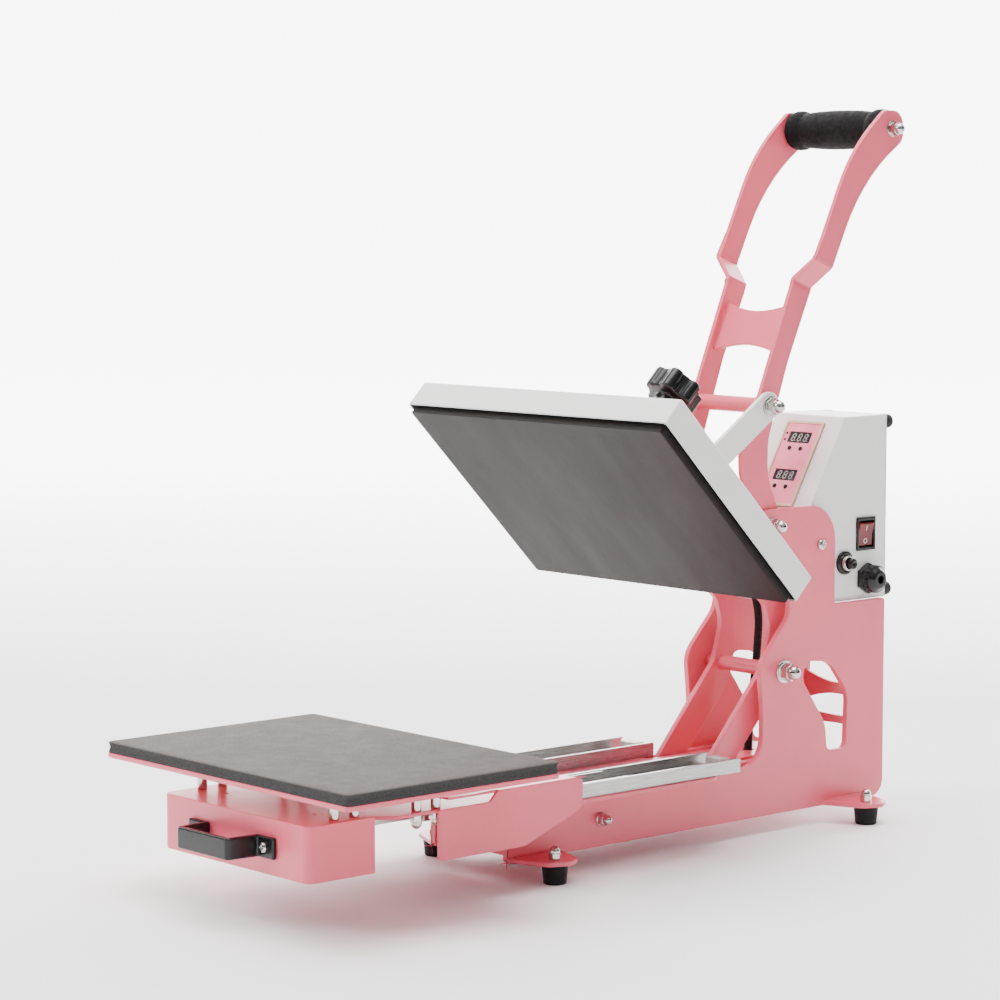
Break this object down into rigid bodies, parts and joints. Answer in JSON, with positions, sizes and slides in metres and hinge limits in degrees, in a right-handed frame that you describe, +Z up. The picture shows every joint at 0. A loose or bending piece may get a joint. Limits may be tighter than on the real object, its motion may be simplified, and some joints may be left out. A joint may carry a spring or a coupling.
{
  "type": "heat press",
  "caption": "Clamshell heat press with a toggle handle, a tilting heated platen, a slide-out lower platen on telescopic slides, and a control box between its side plates",
  "frame": {"origin": "centre of the bounding box in X and Y, on the floor under the rubber feet", "axes": "+X to the user's right, -Y towards the user, +Z up"},
  "size_m": [0.338, 0.793, 0.6755],
  "materials": {
    "pink_paint": "satin powder coat",
    "light_paint": "satin powder coat",
    "plated_steel": "polished nickel",
    "slide_steel": "zinc plated",
    "plate_coating": "satin non-stick coating",
    "silicone": "matt, finely speckled",
    "foam": "matt foam",
    "black_rubber": "matt",
    "black_plastic": "gloss",
    "pale_plastic": "translucent",
    "insulation": "matt fibre",
    "red_plastic": "translucent gloss",
    "display": "gloss window",
    "board_green": "resist coated",
    "cable_sleeve": "matt",
    "panel_overlay": "printed film in a pale gold frame"
  },
  "bodies": {
    "root": {"side_plate_right": "pink_paint", "side_plate_left": "pink_paint", "rubber_feet": "black_rubber", "foot_cap_nuts": "plated_steel", "slide_base_plate": "pink_paint", "frame_ties": "pink_paint", "slide_outer_members": "slide_steel", "slide_bumpers": "pale_plastic", "spring_anchor_bolt": "plated_steel", "main_pivot_bolt": "plated_steel", "handle_pivot_bolt": "plated_steel", "box_screws": "plated_steel", "control_box": "light_paint", "control_box_back": "light_paint", "rear_bumpers": "black_rubber", "control_panel": "panel_overlay", "display_modules": "display", "control_board": "board_green", "switch_bezel": "black_plastic", "fuse_holder": "black_plastic", "cord_gland": "black_plastic", "heater_cable_fixed": "cable_sleeve"},
    "swing": {"swing_arm_right": "pink_paint", "swing_arm_left": "pink_paint", "pivot_tube": "pink_paint", "tail_pins": "plated_steel", "pressure_yoke": "pink_paint", "heater_cable_swing": "cable_sleeve"},
    "platen": {"upper_cover": "light_paint", "heat_plate": "plate_coating", "insulation_frame": "insulation", "thrust_plate": "slide_steel", "cover_screws": "black_plastic"},
    "pressure": {"pressure_screw": "plated_steel", "pressure_knob": "black_plastic"},
    "handle": {"handle_bar_right": "pink_paint", "handle_bar_left": "pink_paint", "handle_cross_plate": "pink_paint", "handle_spacer_tube": "pink_paint", "link_bolt": "plated_steel", "grip_rod": "plated_steel", "foam_grip": "foam"},
    "links": {"toggle_link_right": "light_paint", "toggle_link_left": "light_paint"},
    "springs": {"counter_springs": "slide_steel"},
    "rods": {"draw_rods": "plated_steel"},
    "slide_middles": {"slide_middle_members": "slide_steel"},
    "drawer": {"slide_inner_members": "slide_steel", "carriage": "pink_paint", "drawer_box": "pink_paint", "drawer_pull": "black_plastic", "pull_screws": "plated_steel", "pad_posts": "plated_steel", "lower_tray": "pink_paint", "silicone_pad": "silicone"},
    "rocker": {"power_rocker": "red_plastic"},
    "key_1": {"button_1": "black_plastic"},
    "key_2": {"button_2": "black_plastic"},
    "key_3": {"button_3": "black_plastic"},
    "key_4": {"button_4": "black_plastic"}
  },
  "joints": [
    {"name": "platen_swing", "type": "hinge", "parent": "root", "child": "swing", "pos_m": [0, 0.2385, 0.151], "axis": [1, 0, 0], "range_deg": [0, 45.2]},
    {"name": "handle_pivot", "type": "hinge", "parent": "root", "child": "handle", "pos_m": [0, 0.221, 0.2885], "axis": [1, 0, 0], "range_deg": [0, 99.5]},
    {"name": "link_pivot", "type": "hinge", "parent": "handle", "child": "links", "pos_m": [0, 0.2171, 0.4002], "axis": [1, 0, 0], "range_deg": [-101.7, 0]},
    {"name": "pressure_lift", "type": "slide", "parent": "swing", "child": "platen", "axis": [0, 0.7096, 0.7046], "range_m": [0, 0.004]},
    {"name": "pressure_turn", "type": "hinge", "parent": "platen", "child": "pressure", "pos_m": [0, 0.10175, 0.37386], "axis": [0, 0.7096, 0.7046], "range_deg": [0, 722]},
    {"name": "spring_tilt", "type": "hinge", "parent": "root", "child": "springs", "pos_m": [0, 0.0035, 0.042], "axis": [1, 0, 0], "range_deg": [-8.4, 0]},
    {"name": "spring_stretch", "type": "slide", "parent": "springs", "child": "rods", "axis": [0, 0.995, 0.1001], "range_m": [0, 0.08834]},
    {"name": "slide_extension", "type": "slide", "parent": "root", "child": "slide_middles", "axis": [0, 1, 0], "range_m": [0, 0.1234]},
    {"name": "drawer_slide", "type": "slide", "parent": "root", "child": "drawer", "axis": [0, 1, 0], "range_m": [0, 0.2465]},
    {"name": "rocker_tilt", "type": "hinge", "parent": "root", "child": "rocker", "pos_m": [0.04148, 0.356, 0.272], "axis": [0, -1, 0], "range_deg": [0, 16]},
    {"name": "key_1_press", "type": "slide", "parent": "root", "child": "key_1", "axis": [0, 0.866, -0.5], "range_m": [0, 0.0006], "stiffness_N_per_m": 60},
    {"name": "key_2_press", "type": "slide", "parent": "root", "child": "key_2", "axis": [0, 0.866, -0.5], "range_m": [0, 0.0006], "stiffness_N_per_m": 60},
    {"name": "key_3_press", "type": "slide", "parent": "root", "child": "key_3", "axis": [0, 0.866, -0.5], "range_m": [0, 0.0006], "stiffness_N_per_m": 60},
    {"name": "key_4_press", "type": "slide", "parent": "root", "child": "key_4", "axis": [0, 0.866, -0.5], "range_m": [0, 0.0006], "stiffness_N_per_m": 60}
  ],
  "couplings": [
    {"joint": "handle_pivot", "follows": "platen_swing", "ratio": 2.1969},
    {"joint": "link_pivot", "follows": "platen_swing", "ratio": -2.2456},
    {"joint": "spring_tilt", "follows": "platen_swing", "ratio": -0.18354},
    {"joint": "spring_stretch", "follows": "platen_swing", "m_per_rad": 0.11173},
    {"joint": "slide_extension", "follows": "drawer_slide", "ratio": 0.5},
    {"joint": "pressure_turn", "follows": "pressure_lift", "rad_per_m": 3141.6}
  ]
}
